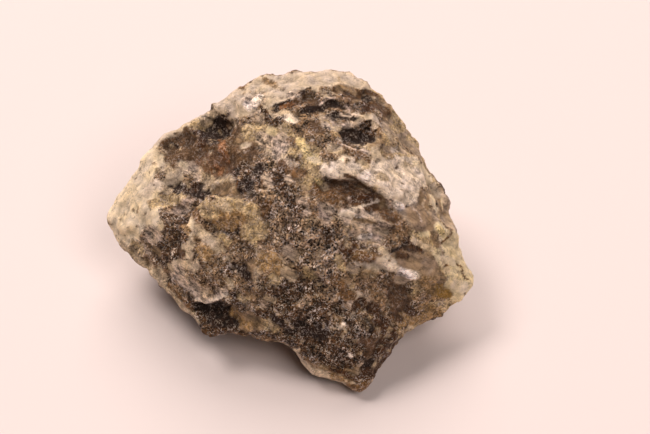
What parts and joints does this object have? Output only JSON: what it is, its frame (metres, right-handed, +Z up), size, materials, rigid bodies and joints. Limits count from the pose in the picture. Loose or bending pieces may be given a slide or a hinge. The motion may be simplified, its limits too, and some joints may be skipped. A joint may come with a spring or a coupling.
{
  "type": "raw labradorite",
  "caption": "Rough palm-sized lump of feldspar rock with a broad sloping broken face, a steep back, a hollow near the top and a small flat spot to rest on.",
  "frame": {"origin": "under the middle of the stone's box, on the level that it rests on", "axes": "+X along the stone's longest way, towards its right tip, +Y from the broad sloping front face towards the steep back, +Z up from the flat spot"},
  "size_m": [0.0858, 0.0648, 0.046],
  "materials": {
    "labradorite": "raw broken feldspar: mottled beige, olive-grey and near-black grains, dull with small glints on cleavage faces"
  },
  "bodies": {
    "root": {"labradorite_stone": "labradorite"}
  },
  "joints": []
}
